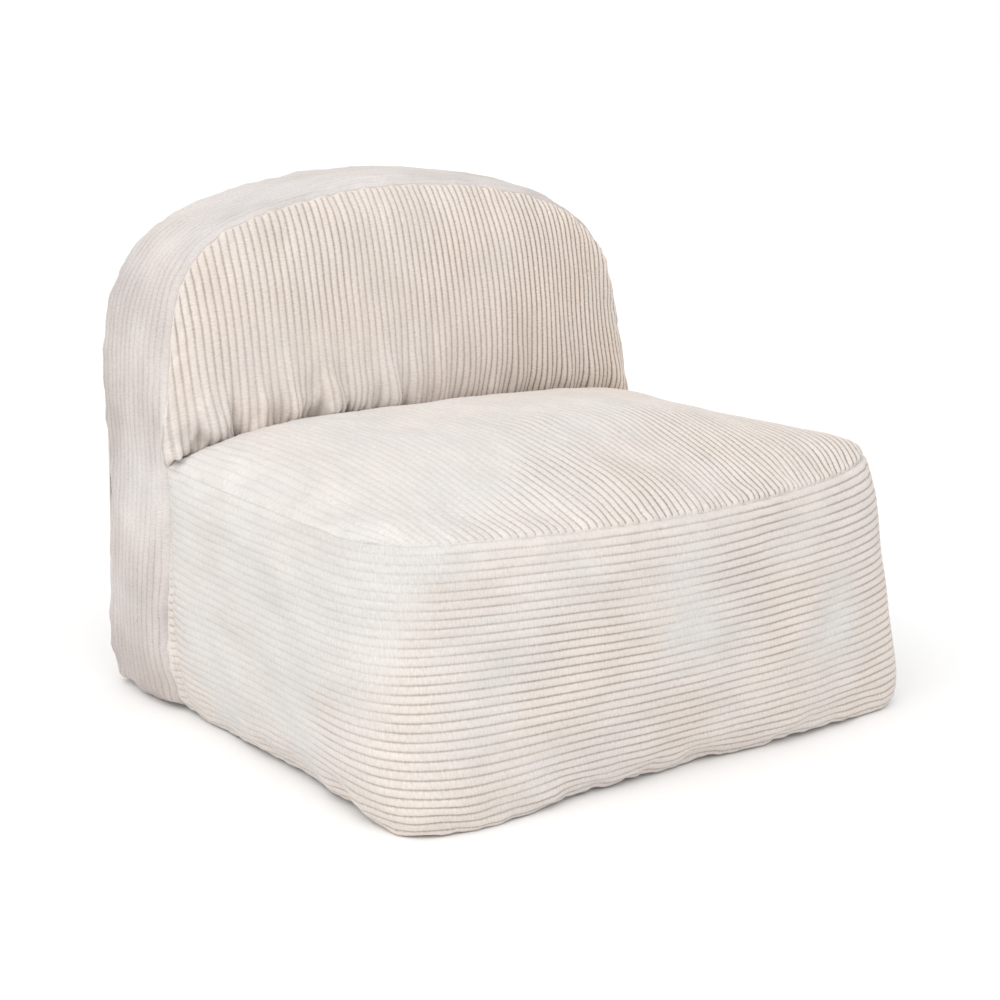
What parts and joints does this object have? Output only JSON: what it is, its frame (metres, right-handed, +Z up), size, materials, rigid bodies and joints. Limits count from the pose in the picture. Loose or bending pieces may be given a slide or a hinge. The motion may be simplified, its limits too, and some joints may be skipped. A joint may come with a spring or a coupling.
{
  "type": "bean bag chair",
  "caption": "Armless corduroy lounge bean bag chair with a boxed seat and an upright arched backrest, filled liners inside a zipped cover.",
  "frame": {"origin": "on the floor, at the centre of the chair's box seen from above", "axes": "+Z up, the chair faces -Y, +X to the right for someone who looks at its front"},
  "size_m": [0.8008, 0.751, 0.68],
  "materials": {
    "cover_corduroy": "cream jumbo corduroy, broad soft wales with a napped pile",
    "base_cloth": "plain woven beige base cloth",
    "liner_cloth": "thin white woven liner cloth",
    "bead_fill": "white expanded foam beads, matt",
    "zip_tape": "cream woven zip tape",
    "zip_teeth": "cream nylon coil teeth",
    "zip_metal": "dull nickel plated"
  },
  "bodies": {
    "chair": {"seat_top_panel": "cover_corduroy", "seat_boxing_band": "cover_corduroy", "backrest_front_panel": "cover_corduroy", "backrest_gusset": "cover_corduroy", "rear_upper_panel": "cover_corduroy", "rear_lower_panel": "cover_corduroy", "base_panel": "base_cloth", "cover_zip_lower_tape": "zip_tape", "cover_zip_upper_tape": "zip_tape", "cover_zip_lower_teeth": "zip_teeth", "cover_zip_upper_teeth": "zip_teeth", "cover_zip_end_stops": "zip_metal", "seat_liner": "liner_cloth", "seat_fill": "bead_fill", "seat_liner_zip_front_tape": "zip_tape", "seat_liner_zip_rear_tape": "zip_tape", "seat_liner_zip_front_teeth": "zip_teeth", "seat_liner_zip_rear_teeth": "zip_teeth", "seat_liner_zip_end_stops": "zip_metal", "back_liner": "liner_cloth", "back_fill": "bead_fill", "back_liner_zip_front_tape": "zip_tape", "back_liner_zip_rear_tape": "zip_tape", "back_liner_zip_front_teeth": "zip_teeth", "back_liner_zip_rear_teeth": "zip_teeth", "back_liner_zip_end_stops": "zip_metal"},
    "cover_slider": {"cover_zip_slider": "zip_metal"},
    "seat_liner_slider": {"seat_liner_zip_slider": "zip_metal"},
    "back_liner_slider": {"back_liner_zip_slider": "zip_metal"}
  },
  "joints": [
    {"name": "cover_zip_slide", "type": "slide", "parent": "chair", "child": "cover_slider", "axis": [1, 0, 0], "range_m": [0, 0.54]},
    {"name": "seat_liner_zip_slide", "type": "slide", "parent": "chair", "child": "seat_liner_slider", "axis": [1, 0, 0], "range_m": [0, 0.4]},
    {"name": "back_liner_zip_slide", "type": "slide", "parent": "chair", "child": "back_liner_slider", "axis": [1, 0, 0], "range_m": [0, 0.4]}
  ]
}
